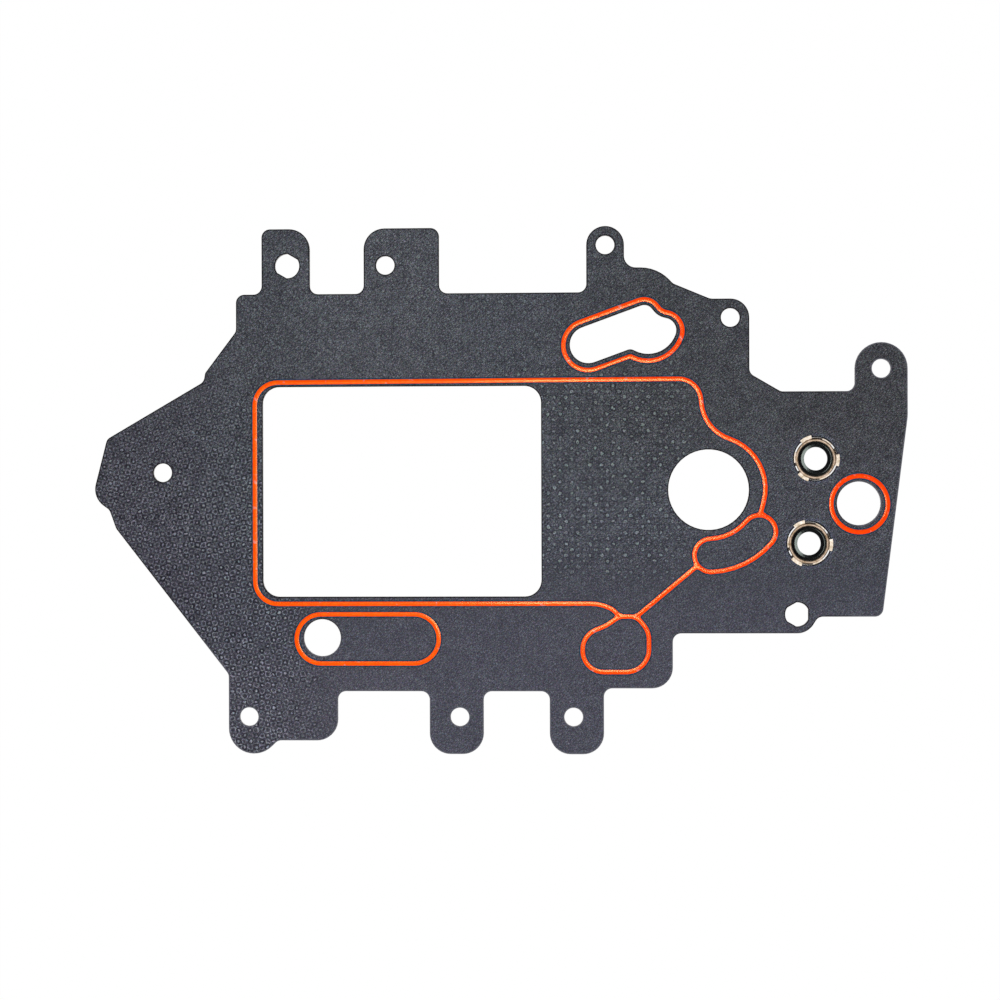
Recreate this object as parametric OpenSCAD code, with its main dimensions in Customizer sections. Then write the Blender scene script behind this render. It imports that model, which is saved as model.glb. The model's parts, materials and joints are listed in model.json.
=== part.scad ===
// Supercharger gasket: one flat composite plate that is clamped between the
// blower and the intake manifold, with printed silicone beads on both faces and
// two rubber passage seals held in the plate by sheet steel retainers.
// The origin is the middle of the two-flat locating hole, on the plate's lower
// face. X runs to the right along the upper tabs, Y away from the lower tabs.

/* [Plate] */
// Thickness of the plate
plate_t = 1.5; // [0.8:0.1:3]
// Level of the upper edge, between the tabs
upper_edge_y = -12.8; // [-14:0.1:-11]
// Level of the lower edge, between the tabs
lower_edge_y = -191.95; // [-193:0.05:-190.5]
// Level of the lower edge to the right of the lower tabs
lower_step_y = -190.6; // [-192:0.05:-188]
// Level of the short lower edge beside the lower left tab
heel_edge_y = -214.2; // [-216:0.1:-212]
// Level of the edge below the right side
right_foot_y = -158.5; // [-160:0.1:-157.5]
// Level of the edge between the shoulder and the right ear
right_edge_y = -57.75; // [-59:0.05:-56]
// Left side of the plate beside the locating tab
flank_x = -23.3; // [-26:0.1:-20]
// Right side of the lower left tab, at its foot
heel_x = 22.45; // [20:0.05:24]
// Right side of the plate above the lower step
lower_right_x = 173.25; // [171:0.05:176]
// Lower right corner of the plate
right_foot_x = 266.6; // [262:0.1:270]
// Round where a tab leaves the plate, and on small corners
foot_r = 3.8; // [2:0.1:4.5]
// Round on the large corners of the tabs
tab_r = 9.4; // [5:0.1:10]
// Reach of the square tabs past their holes
tab_reach = 16.65; // [14:0.05:20]
// Rim of the plate around a bolt hole at a rounded end
boss_r = 8.45; // [7:0.05:8.6]
// Rim of the plate around the bolt hole of the right ear
ear_rim_r = 11.7; // [10:0.05:12.5]

/* [Left end] */
// Foot of the left side, where it starts to slope
flank_y = -29.4; // [-31:0.1:-27]
// Upper corner of the notch in the slope, across
notch_top_x = -37.4; // [-38:0.1:-36]
// Upper corner of the notch in the slope, up
notch_top_y = -48.1; // [-49:0.1:-46]
// Lower corner of the notch in the slope, across
notch_foot_x = -38.1; // [-40:0.1:-37]
// Lower corner of the notch in the slope, up
notch_foot_y = -52.1; // [-53:0.1:-51]
// Upper corner of the nose, across
nose_top_x = -82.3; // [-84:0.1:-80]
// Upper corner of the nose, up
nose_top_y = -77.85; // [-79:0.05:-76]
// Tip of the nose, across
nose_tip_x = -89.1; // [-91:0.1:-87]
// Tip of the nose, up
nose_tip_y = -104.45; // [-106:0.05:-103]
// Round on the tip of the nose
nose_r = 9.25; // [6:0.05:10]
// Hollow below the nose, across
chin_x = -81.3; // [-82.5:0.1:-80]
// Hollow below the nose, up
chin_y = -109.85; // [-111:0.05:-108]
// Corner below the hollow, across
jaw_x = -78.2; // [-79.5:0.1:-77]
// Corner below the hollow, up
jaw_y = -118.45; // [-120:0.05:-117]
// Foot of the long slope on the left
slope_foot_y = -184.4; // [-187:0.1:-182]
// Rim of the lower left tab to the left of its hole
heel_rim = 9.25; // [8:0.05:11]
// Round on the lower left tab
heel_r = 11.45; // [10:0.05:13]
// Angle at which that round runs out into the short edge
heel_run_out = 44; // [35:1:50]

/* [Upper right rise] */
// Left end of the rise between the round ear and the shoulder, up
rise_y = -1.8; // [-3:0.1:-1]
// Top corner of the rise, across
rise_x = 167; // [165:0.1:168]
// Foot corner of the rise, across
rise_foot_x = 173.8; // [172:0.1:176]
// Foot corner of the rise, up
rise_foot_y = -9.1; // [-10:0.1:-8]
// Round on the top corner of the rise
rise_r = 18; // [10:0.5:19]
// Round in the foot of the round ear, on its right side
ear_foot_r = 5.3; // [3:0.1:6]
// Left end of the shoulder's level edge
shoulder_x = 190.4; // [189:0.1:192]
// Round at the left end of the shoulder's level edge
shoulder_foot_r = 6.6; // [4:0.1:10]
// Foot of the shoulder's right side, up
shoulder_foot_y = -49.55; // [-51:0.05:-48]
// Right end of the slope below the shoulder
shoulder_slope_x = 221.8; // [220:0.1:224]
// Corner at the foot of the right ear, up
ear_lean_y = -69; // [-75:0.5:-62]

/* [Tabs] */
// Locating tab, from its hole to its left side
locating_tab_left = 11.6; // [10:0.1:13]
// Locating tab, from its hole to its right side
locating_tab_right = 10.2; // [9:0.1:12]
// Upper bolt tab, from its hole to its left side
upper_tab_left = 9.75; // [9:0.05:12]
// Upper bolt tab, from its hole to its right side
upper_tab_right = 24.25; // [22:0.05:26]
// Lower bolt tabs, from the hole to the side that faces the other tab
lower_tab_near = 10.7; // [9:0.05:13]
// Lower bolt tabs, from the hole to the outer side
lower_tab_far = 13.6; // [11:0.05:15]

/* [Bolt holes] */
// Diameter of the bolt holes
bolt_d = 8.4; // [6.6:0.1:9]
// Upper tab, across
upper_bolt_x = 44.45; // [42:0.05:46]
// Round ear at the top, across
ear_bolt_x = 143.45; // [142:0.05:146]
// Round ear at the top, up
ear_bolt_y = 8.45; // [7:0.05:11]
// Shoulder, across
shoulder_bolt_x = 199.35; // [198:0.05:201]
// Shoulder, up
shoulder_bolt_y = -24.5; // [-26:0.1:-23]
// Right ear, across
right_bolt_x = 266.4; // [265:0.1:268]
// Right ear, up
right_bolt_y = -47.65; // [-49:0.05:-46]
// Nose at the left end, across
nose_bolt_x = -56.9; // [-60:0.1:-54]
// Nose at the left end, up
nose_bolt_y = -93.15; // [-97:0.05:-90]
// The three lower holes, up
lower_bolt_y = -203.55; // [-205:0.05:-202]
// Lower left tab, across
heel_bolt_x = -17.8; // [-19:0.1:-17]
// Lower middle tab, across
middle_bolt_x = 77.6; // [76:0.1:79]
// Lower right tab, across
lower_bolt_x = 128.75; // [127:0.05:130]

/* [Locating holes] */
// Diameter of the two-flat locating hole
dowel_d = 11; // [9:0.1:12]
// Width across its two flats
dowel_flats = 9.75; // [8.5:0.05:10.5]
// Turn of its flats
dowel_turn = 60; // [0:1:90]
// Three-flat locating hole, across
far_dowel_x = 228.8; // [227.5:0.1:230]
// Three-flat locating hole, up
far_dowel_y = -157.5; // [-158.5:0.1:-156.5]
// Diameter of the three-flat locating hole
far_dowel_d = 10.8; // [9:0.1:12]
// Distance of its three flats from its middle
far_dowel_flat = 4.88; // [4.3:0.02:5.3]

/* [Ports] */
// Rectangular port, middle across
port_x = 51.6; // [50:0.1:53]
// Rectangular port, middle up
port_y = -102; // [-103:0.1:-101]
// Rectangular port, width
port_w = 125.8; // [120:0.1:128]
// Rectangular port, height
port_h = 94.75; // [90:0.05:96]
// Rectangular port, corner round
port_r = 7.5; // [3:0.1:12]
// Round port, middle across
round_port_x = 189.45; // [188:0.05:191]
// Round port, middle up
round_port_y = -101.6; // [-103:0.1:-100]
// Round port, diameter
round_port_d = 36.1; // [30:0.1:39]
// Coolant hole at the right, across
coolant_x = 256.3; // [255:0.1:258]
// Coolant hole at the right, up
coolant_y = -107.9; // [-109:0.1:-106]
// Coolant hole at the right, diameter
coolant_d = 19.5; // [16:0.1:21]
// Drain hole at the lower left, across
drain_x = 15.5; // [14:0.1:18]
// Drain hole at the lower left, below the rectangular port's lower side
drain_down = 18.5; // [17:0.1:20]
// Drain hole at the lower left, diameter
drain_d = 16.75; // [14:0.05:18]

/* [Lobed port] */
// Middle of the left lobe, across
lobe_x = 135.8; // [134:0.1:137]
// Middle of the left lobe, up
lobe_y = -36.3; // [-38:0.1:-35]
// Radius of the left lobe
lobe_r = 8.3; // [7:0.1:9]
// Turn of the lobed port's long axis
lobe_turn = 20; // [17:0.5:23]
// Length of its straight upper side
lobe_top_len = 31.25; // [29:0.05:33]
// Length of its straight lower side
lobe_foot_len = 17.2; // [15:0.1:19]
// Round at the end of the upper side
lobe_top_r = 4.3; // [3:0.1:5]
// Hollow behind the upper side, along the axis
hollow_u = 33.75; // [33:0.05:35]
// Hollow behind the upper side, across the axis
hollow_v = 1.2; // [0:0.1:2]
// Round of that hollow
hollow_r = 8.6; // [5:0.1:9.5]
// Right end of the port, along the axis
tip_u = 42.15; // [41:0.05:44]
// Right end of the port, across the axis
tip_v = -4.4; // [-5.5:0.1:-3.5]
// Round of the right end
tip_r = 5.55; // [4:0.05:6]
// Lower right corner of the port, along the axis
belly_u = 29; // [28:0.1:30]
// Lower right corner of the port, across the axis
belly_v = -20.8; // [-22:0.1:-20]
// Round of the lower right corner
belly_r = 13.1; // [10:0.1:13.5]
// Round in the notch of the lower side
notch_r = 3.3; // [3.1:0.1:6]

/* [Beads] */
// Width of the silicone beads
bead_w = 2; // [1.2:0.1:2.4]
// Height of the beads above each face
bead_h = 0.4; // [0.2:0.05:0.8]
// Main bead, clear of the rectangular port's left side
main_gap_left = 3.6; // [2.5:0.1:5]
// Main bead, clear of the port's upper side at its left corner
main_gap_top = 2; // [1.8:0.1:4]
// Main bead, clear of the port's lower side
main_gap_foot = 3.2; // [2.5:0.1:4]
// Main bead, round at the two left corners
main_corner_r = 10.3; // [6:0.1:14]
// Main bead, level of the right end of its upper run
main_run_y = -51.8; // [-52.2:0.1:-51.2]
// Main bead, right end of its upper run, left of the round port's middle
main_run_end = 4.15; // [2:0.05:6]
// Round at the end of the upper run
main_run_r = 10; // [7:0.5:11]
// Middle of the S-bend, left of the round port's middle
bend_left = 2; // [1:0.1:3]
// Middle of the S-bend, above the round port's middle
bend_up = 26.7; // [26:0.1:28]
// Round of the S-bend
bend_r = 19.5; // [14:0.5:21]
// Corner of the stretch around the round port, right of its middle
wrap_right = 30.4; // [29.5:0.1:31]
// Corner of the stretch around the round port, above its middle
wrap_up = 15.6; // [15:0.1:16.5]
// Round of the stretch around the round port
wrap_r = 24.5; // [22:0.5:25]
// Curved pocket below the round port, radius of its middle line
pocket_r = 29.4; // [28.5:0.1:31]
// Curved pocket, half its width
pocket_half = 7.45; // [6:0.05:8]
// Curved pocket, angle of its lower end
pocket_start = -88; // [-92:1:-84]
// Curved pocket, angle of its upper end
pocket_end = -40; // [-44:1:-38]
// Place on its upper round end where the main bead joins
upper_join = 87; // [75:1:100]
// Place on its lower round end where the link to the lower pocket joins
lower_join = 217; // [210:1:226]
// Lower pocket, left side
sump_left = 132.9; // [131:0.1:134.5]
// Lower pocket, right side
sump_right = 162.6; // [161:0.1:164]
// Lower pocket, clear of the plate's lower edge
sump_rim = 7.3; // [6:0.1:9]
// Lower pocket, round on its left corners
sump_r = 9.4; // [8:0.1:9.4]
// Lower pocket, round on its right corners
sump_right_r = 10.2; // [8:0.1:10.4]
// Lower pocket, neck where the beads meet, across
neck_x = 153.2; // [152.5:0.1:154.5]
// Lower pocket, neck where the beads meet, below the main bead's lower run
neck_down = 5.8; // [5.2:0.1:6.6]
// Lower pocket, half the width of its neck
neck_half = 3.9; // [3.6:0.1:4.5]
// Lower pocket, left shoulder of its neck, out from the neck
shoulder_out = 5.6; // [4.6:0.1:6.4]
// Lower pocket, left shoulder of its neck, below the neck
shoulder_down = 4; // [3.4:0.1:4.6]
// Lower pocket, upper corner on its left side, below the neck
sump_left_down = 8.3; // [7.6:0.1:9]
// Lower pocket, upper corner on its right side, below the neck
sump_right_down = 6.7; // [6:0.1:7.4]
// Main bead, right end of its lower run, left of the neck's middle
main_foot_end = 12.1; // [11.2:0.1:14]
// Main bead, last corner before the neck, left of the neck's middle
neck_lead_left = 6.4; // [5.6:0.1:7.2]
// Main bead, last corner before the neck, above the neck
neck_lead_up = 3; // [2.4:0.1:3.4]
// Round of the webs in the corners where beads meet
web_r = 2.1; // [1.4:0.1:2.8]
// Section of a web, as a share of a bead's
web_share = 0.92; // [0.8:0.02:0.96]
// Round of the wide corners at the two ends of the neck
neck_r = 6; // [3:0.5:7]
// Lobed port's bead, clear of the port all round
lobe_gap = 2.8; // [2.4:0.1:3]
// Lobed port's bead, shift of the print across
lobe_shift_x = -0.1; // [-0.5:0.1:0.5]
// Lobed port's bead, shift of the print up
lobe_shift_y = -0.3; // [-0.5:0.1:0.5]
// Coolant hole's bead, shift of the print across
coolant_shift_x = 0.35; // [-0.6:0.05:0.6]
// Coolant hole's bead, shift of the print up
coolant_shift_y = -0.3; // [-0.6:0.1:0.6]
// Coolant hole's bead, radius of its middle line
coolant_bead_r = 12.55; // [12:0.05:13.6]
// Drain pocket's bead, shift of the print across
drain_shift_x = -0.55; // [-1:0.05:1]
// Drain pocket's bead, shift of the print up
drain_shift_y = -0.5; // [-1:0.1:1]
// Drain pocket's bead, radius of its ends
drain_bead_r = 11.1; // [10.6:0.1:11.8]
// Drain pocket's bead, length between the middles of its ends
drain_run = 42.1; // [30:0.1:46]

/* [Passage seals] */
// Upper seal, left of the coolant hole
upper_seal_left = 19.1; // [18:0.1:21]
// Upper seal, above the coolant hole
upper_seal_up = 20; // [18:0.1:22]
// Lower seal, left of the coolant hole
lower_seal_left = 22.15; // [20:0.05:24]
// Lower seal, below the coolant hole
lower_seal_down = 17.9; // [16:0.1:20]
// Bore of the rubber ring
seal_bore_d = 10.4; // [8:0.1:11]
// Width of the rubber ring's round ridge
seal_ridge_w = 2; // [1.6:0.1:2.2]
// Height of the rubber ridge above each face
seal_proud = 0.4; // [0.2:0.05:0.8]
// Outer diameter of the rubber, where it is bonded to the steel
seal_bond_d = 15.5; // [15:0.1:16.5]
// Outer diameter of the steel ring
retainer_d = 17.7; // [17:0.1:18.5]
// Diameter of the hole in the plate that holds a retainer
seal_hole_d = 19.4; // [19:0.1:20.5]
// Diameter over the tips of the retainer's lugs
lug_tip_d = 21.3; // [20.8:0.1:23]
// Thickness of the retainer's steel sheet
sheet_t = 0.35; // [0.2:0.05:0.4]
// Angle that one lug takes
lug_angle = 29; // [20:1:36]
// Turn of the first upper lug
lug_turn = -4; // [-30:1:30]
// Clearance between a lug's upright and the plate's hole
lug_clearance = 0.1; // [0.05:0.05:0.3]

/* [Hidden] */
$fn = 48;
// Largest step of an arc, in degrees
arc_step = 9;
// Points across the crown of a bead
crown_steps = 5;
// Overlap of a cut past the face that it starts from
cut = 1;

round_port = [round_port_x, round_port_y];
far_dowel = [far_dowel_x, far_dowel_y];
bolt_holes = [
    [upper_bolt_x, 0],
    [ear_bolt_x, ear_bolt_y],
    [shoulder_bolt_x, shoulder_bolt_y],
    [right_bolt_x, right_bolt_y],
    [lower_bolt_x, lower_bolt_y],
    [middle_bolt_x, lower_bolt_y],
    [heel_bolt_x, lower_bolt_y],
    [nose_bolt_x, nose_bolt_y]
];
coolant_hole = [coolant_x, coolant_y];
upper_seal = coolant_hole + [-upper_seal_left, upper_seal_up];
lower_seal = coolant_hole - [lower_seal_left, lower_seal_down];

// A path is a list of corners [x, y, round]. A round of 0 marks an open end.
function place(corner) = [corner[0], corner[1]];
function direction(angle) = [cos(angle), sin(angle)];
function left_of(angle) = [-sin(angle), cos(angle)];
function previous(path, i) = path[(i + len(path) - 1) % len(path)];
function next(path, i) = path[(i + 1) % len(path)];
function heading(from, to) = atan2(to[1] - from[1], to[0] - from[0]);
function heading_in(path, i) = heading(previous(path, i), path[i]);
function wrap_angle(a) = a > 180 ? a - 360 : a <= -180 ? a + 360 : a;
function turn(path, i) = wrap_angle(heading(path[i], next(path, i)) - heading_in(path, i));

// Length that a round takes from each side of its corner. Where two rounds take
// more than the side between them holds, both are drawn smaller in proportion.
function reach(path, i) = path[i][2] * abs(tan(turn(path, i) / 2));
function side_fit(path, i, j) =
    let (wanted = reach(path, i) + reach(path, j), side = norm(place(path[i]) - place(path[j])))
    wanted > side ? side / wanted : 1;
function fitted_round(path, i) =
    let (n = len(path))
    path[i][2] * min(side_fit(path, i, (i + 1) % n), side_fit(path, (i + n - 1) % n, i));

// Stations along a path, each [x, y, heading], with the arcs of its rounds
function corner_stations(path, i) =
    let (t = turn(path, i),
         r = fitted_round(path, i),
         a = heading_in(path, i),
         start = place(path[i]) - direction(a) * r * abs(tan(t / 2)),
         centre = start + left_of(a) * r * sign(t),
         steps = max(1, ceil(abs(t) / arc_step)))
    [for (k = [0 : steps])
        let (h = a + t * k / steps, p = centre - left_of(h) * r * sign(t))
        [p[0], p[1], h]];

function end_station(path, i) =
    [path[i][0], path[i][1], i == 0 ? heading(path[0], path[1]) : heading_in(path, i)];

function all_stations(path) =
    [for (i = [0 : len(path) - 1])
        each (path[i][2] == 0 ? [end_station(path, i)] : corner_stations(path, i))];

// Stations that fall on the one before them are left out
function stations(path) =
    let (s = all_stations(path), n = len(s))
    [for (i = [0 : n - 1]) if (norm(place(s[i]) - place(s[(i + n - 1) % n])) > 0.01) s[i]];

function outline_points(path) = [for (s = stations(path)) place(s)];

// The same path moved outwards by a gap, for a loop that runs anticlockwise
function outset(path, gap) =
    [for (i = [0 : len(path) - 1])
        let (a = heading_in(path, i),
             t = turn(path, i),
             shift = -left_of(a) * gap + direction(a) * gap * tan(t / 2),
             p = place(path[i]) + shift)
        [p[0], p[1], path[i][2] + sign(t) * gap]];

// Corners of the plate's outline, anticlockwise from the round ear's left foot
tangent_lean = 58;
far_boss_exit = far_dowel + boss_r * direction(tangent_lean - 90);
heel_left = heel_bolt_x - heel_rim;
heel_middle = [heel_left + heel_r, lower_bolt_y - tab_reach + heel_r];
heel_exit = heel_middle + heel_r * direction(heel_run_out - 90);

upper_outline = [
    [ear_bolt_x - boss_r, upper_edge_y, foot_r],
    [upper_bolt_x + upper_tab_right, upper_edge_y, foot_r],
    [upper_bolt_x + upper_tab_right, tab_reach, foot_r],
    [upper_bolt_x - upper_tab_left, tab_reach, tab_r],
    [upper_bolt_x - upper_tab_left, upper_edge_y, foot_r],
    [locating_tab_right, upper_edge_y, foot_r],
    [locating_tab_right, tab_reach, tab_r],
    [-locating_tab_left, tab_reach, foot_r],
    [-locating_tab_left, upper_edge_y, foot_r],
    [flank_x, upper_edge_y, foot_r],
    [flank_x, flank_y, foot_r]
];
left_outline = [
    [notch_top_x, notch_top_y, foot_r / 3],
    [notch_foot_x, notch_foot_y, foot_r],
    [nose_top_x, nose_top_y, foot_r],
    [nose_tip_x, nose_tip_y, nose_r],
    [chin_x, chin_y, foot_r],
    [jaw_x, jaw_y, foot_r],
    [heel_left, slope_foot_y, foot_r],
    [heel_left, heel_middle[1] - heel_r * tan(45 + heel_run_out / 2), heel_r],
    [heel_exit[0] + (heel_edge_y - heel_exit[1]) / tan(heel_run_out), heel_edge_y, foot_r]
];
lower_outline = [
    [heel_x, heel_edge_y, tab_r],
    [heel_x, lower_edge_y, foot_r],
    [middle_bolt_x - lower_tab_far, lower_edge_y, foot_r],
    [middle_bolt_x - lower_tab_far, lower_bolt_y - tab_reach, tab_r],
    [middle_bolt_x + lower_tab_near, lower_bolt_y - tab_reach, tab_r],
    [middle_bolt_x + lower_tab_near, lower_edge_y, foot_r],
    [lower_bolt_x - lower_tab_near, lower_edge_y, foot_r],
    [lower_bolt_x - lower_tab_near, lower_bolt_y - tab_reach, tab_r],
    [lower_bolt_x + lower_tab_far, lower_bolt_y - tab_reach, tab_r],
    [lower_bolt_x + lower_tab_far, lower_step_y, foot_r],
    [lower_right_x, lower_step_y, tab_r],
    [lower_right_x, far_dowel_y - boss_r, foot_r]
];
right_outline = [
    [far_dowel_x + boss_r * tan(tangent_lean / 2), far_dowel_y - boss_r, boss_r],
    [far_boss_exit[0] + (right_foot_y - far_boss_exit[1]) / tan(tangent_lean), right_foot_y, foot_r],
    [right_foot_x, right_foot_y, foot_r],
    [right_bolt_x + ear_rim_r, ear_lean_y, ear_rim_r],
    [right_bolt_x + ear_rim_r, right_bolt_y + ear_rim_r, ear_rim_r],
    [right_bolt_x - ear_rim_r, right_bolt_y + ear_rim_r, ear_rim_r],
    [right_bolt_x - ear_rim_r, right_edge_y, foot_r],
    [shoulder_slope_x, right_edge_y, foot_r],
    [shoulder_bolt_x + boss_r, shoulder_foot_y, foot_r],
    [shoulder_bolt_x + boss_r, shoulder_bolt_y + boss_r, boss_r],
    [shoulder_x, shoulder_bolt_y + boss_r, shoulder_foot_r],
    [rise_foot_x, rise_foot_y, foot_r],
    [rise_x, rise_y, rise_r],
    [ear_bolt_x + boss_r, rise_y, ear_foot_r],
    [ear_bolt_x + boss_r, ear_bolt_y + boss_r, boss_r],
    [ear_bolt_x - boss_r, ear_bolt_y + boss_r, boss_r]
];
plate_outline = concat(upper_outline, left_outline, lower_outline, right_outline);

// Loop of four corners with one round, anticlockwise
function box_path(left, foot, right, top, r) =
    [[left, foot, r], [right, foot, r], [right, top, r], [left, top, r]];

port_left = port_x - port_w / 2;
port_right = port_x + port_w / 2;
port_foot = port_y - port_h / 2;
port_top = port_y + port_h / 2;
port_path = box_path(port_left, port_foot, port_right, port_top, port_r);
drain_hole = [drain_x, port_foot - drain_down];

// Lobed port, set out along its own axis from the middle of its left lobe
function on_lobe_axis(u, v, r) =
    let (p = [lobe_x, lobe_y] + u * direction(lobe_turn) + v * left_of(lobe_turn)) [p[0], p[1], r];
lobe_path = [
    on_lobe_axis(lobe_top_len, lobe_r, lobe_top_r),
    on_lobe_axis(-lobe_r, lobe_r, lobe_r),
    on_lobe_axis(-lobe_r, -lobe_r, lobe_r),
    on_lobe_axis(lobe_foot_len, -lobe_r, notch_r),
    on_lobe_axis(belly_u, belly_v, belly_r),
    on_lobe_axis(tip_u, tip_v, tip_r),
    on_lobe_axis(hollow_u, hollow_v, hollow_r)
];

// Middle lines of the beads
drain_mid = drain_hole + [drain_shift_x, drain_shift_y];
drain_bead_path = box_path(drain_mid[0] - drain_bead_r, drain_mid[1] - drain_bead_r,
    drain_mid[0] + drain_run + drain_bead_r, drain_mid[1] + drain_bead_r, drain_bead_r);
lobe_bead_path = [
    for (c = outset(lobe_path, lobe_gap)) [c[0] + lobe_shift_x, c[1] + lobe_shift_y, c[2]]
];

// Curved pocket around the round port: two arcs about it, joined by half rounds
function on_port(radius, angle, along, r) =
    let (p = round_port + radius * direction(angle) + along * left_of(angle)) [p[0], p[1], r];
pocket_mid = (pocket_start + pocket_end) / 2;
pocket_spread = (pocket_end - pocket_start) / 2;
pocket_outer = pocket_r + pocket_half;
pocket_inner = pocket_r - pocket_half;
pocket_path = [
    on_port(pocket_outer / cos(pocket_spread), pocket_mid, 0, pocket_outer),
    on_port(pocket_outer, pocket_end, pocket_half, pocket_half),
    on_port(pocket_inner, pocket_end, pocket_half, pocket_half),
    on_port(pocket_inner / cos(pocket_spread), pocket_mid, 0, pocket_inner),
    on_port(pocket_inner, pocket_start, -pocket_half, pocket_half),
    on_port(pocket_outer, pocket_start, -pocket_half, pocket_half)
];

// Lower pocket, a loop with a narrow neck where the main bead and the link meet it
main_foot_y = port_foot - main_gap_foot;
neck_y = main_foot_y - neck_down;
sump_y = lower_step_y + sump_rim;
sump_path = [
    [neck_x + neck_half, neck_y, neck_r],
    [neck_x - neck_half, neck_y, neck_r],
    [neck_x - neck_half - shoulder_out, neck_y - shoulder_down, 2 * sump_r],
    [sump_left, neck_y - sump_left_down, sump_r],
    [sump_left, sump_y, sump_r],
    [sump_right, sump_y, sump_right_r],
    [sump_right, neck_y - sump_right_down, sump_right_r]
];

// Middle of a bead's end on one of the pocket's two round ends
function on_pocket_end(end_angle, join_angle) =
    let (p = round_port + pocket_r * direction(end_angle) + pocket_half * direction(join_angle))
    [p[0], p[1], 0];

main_bead_path = [
    on_pocket_end(pocket_end, upper_join),
    [round_port_x + wrap_right, round_port_y + wrap_up, wrap_r],
    [round_port_x - bend_left, round_port_y + bend_up, bend_r],
    [round_port_x - main_run_end, main_run_y, main_run_r],
    [port_left - main_gap_left, port_top + main_gap_top, main_corner_r],
    [port_left - main_gap_left, main_foot_y, main_corner_r],
    [neck_x - main_foot_end, main_foot_y, wrap_r],
    [neck_x - neck_lead_left, neck_y + neck_lead_up, sump_r],
    [neck_x - neck_half, neck_y, 0]
];
link_path = [
    on_pocket_end(pocket_start, lower_join),
    [neck_x + neck_half, neck_y, 0]
];

// Corners with a web: the joint, the angles of the two beads that leave it, the round
main_end = len(main_bead_path) - 1;
bend_angle = heading(main_bead_path[0], main_bead_path[1]);
link_angle = heading(link_path[0], link_path[1]);
lead_angle = heading(main_bead_path[main_end], main_bead_path[main_end - 1]);
webs = [
    [main_bead_path[0], upper_join - 90, bend_angle, web_r],
    [main_bead_path[0], bend_angle, upper_join + 90, web_r],
    [link_path[0], lower_join - 90, link_angle, web_r],
    [link_path[0], link_angle, lower_join + 90, web_r],
    [link_path[1], heading(sump_path[0], sump_path[6]), link_angle - 180, web_r],
    [link_path[1], link_angle - 180, 180, neck_r],
    [main_bead_path[main_end], 0, lead_angle, neck_r],
    [main_bead_path[main_end], lead_angle, heading(sump_path[1], sump_path[2]), web_r]
];

// Rounded crown of a bead, from its right edge to its left edge, as [across, up]
crown_r = (bead_w * bead_w / 4 + bead_h * bead_h) / (2 * bead_h);
crown_angle = asin(bead_w / 2 / crown_r);
bead_section = [
    for (k = [0 : crown_steps])
        let (a = crown_angle * (2 * k / crown_steps - 1))
        [crown_r * sin(a), crown_r * (cos(a) - cos(crown_angle))]
];

// Bead on the plane z = 0 that follows a path, with its section to a given share
module bead(path, closed = true, share = 1) {
    s = stations(path);
    n = len(s);
    m = len(bead_section);
    points = [
        for (i = s, q = bead_section)
            let (p = place(i) + share * q[0] * left_of(i[2]))
            [p[0], p[1], share * q[1]]
    ];
    rings = closed ? n : n - 1;
    walls = [
        for (i = [0 : rings - 1], k = [0 : m - 1])
            let (j = (i + 1) % n, l = (k + 1) % m)
            [i * m + k, i * m + l, j * m + l, j * m + k]
    ];
    first_cap = [for (k = [0 : m - 1]) m - 1 - k];
    last_cap = [for (k = [0 : m - 1]) (n - 1) * m + k];
    polyhedron(points, closed ? walls : concat(walls, [first_cap, last_cap]), convexity = 10);
}

// Bead all round the coolant hole
module coolant_bead() {
    translate(coolant_hole + [coolant_shift_x, coolant_shift_y]) rotate_extrude() intersection() {
        translate([coolant_bead_r, bead_h - crown_r]) circle(r = crown_r, $fn = 24);
        translate([coolant_bead_r - bead_w, 0]) square([2 * bead_w, bead_h]);
    }
}

// Silicone that rounds the corner between two beads, from one to the other
module web(joint, angle, other_angle, r) {
    side = r * tan(90 - abs(wrap_angle(other_angle - angle)) / 2);
    start = place(joint) + side * direction(angle);
    end = place(joint) + side * direction(other_angle);
    path = [[start[0], start[1], 0], [joint[0], joint[1], r], [end[0], end[1], 0]];
    bead(path, closed = false, share = web_share);
}

module main_bead() {
    bead(main_bead_path, closed = false);
    bead(link_path, closed = false);
    bead(pocket_path);
    bead(sump_path);
    for (w = webs) web(w[0], w[1], w[2], w[3]);
}

module on_upper_face() translate([0, 0, plate_t]) children();
module on_lower_face() mirror([0, 0, 1]) children();

module main_bead_top() color("#f0551c") on_upper_face() main_bead();
module main_bead_bottom() color("#f0551c") on_lower_face() main_bead();
module lobed_port_bead_top() color("#f0551c") on_upper_face() bead(lobe_bead_path);
module lobed_port_bead_bottom() color("#f0551c") on_lower_face() bead(lobe_bead_path);
module drain_bead_top() color("#f0551c") on_upper_face() bead(drain_bead_path);
module drain_bead_bottom() color("#f0551c") on_lower_face() bead(drain_bead_path);
module coolant_bead_top() color("#f0551c") on_upper_face() coolant_bead();
module coolant_bead_bottom() color("#f0551c") on_lower_face() coolant_bead();

// Round hole with flats at a distance from its middle, facing the given angles
module flat_sided_hole(d, flat, angles) {
    difference() {
        circle(d = d);
        for (a = angles) rotate(a) translate([flat, -d / 2]) square(d);
    }
}

module through(height = plate_t) {
    translate([0, 0, -cut]) linear_extrude(height + 2 * cut) children();
}

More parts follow.
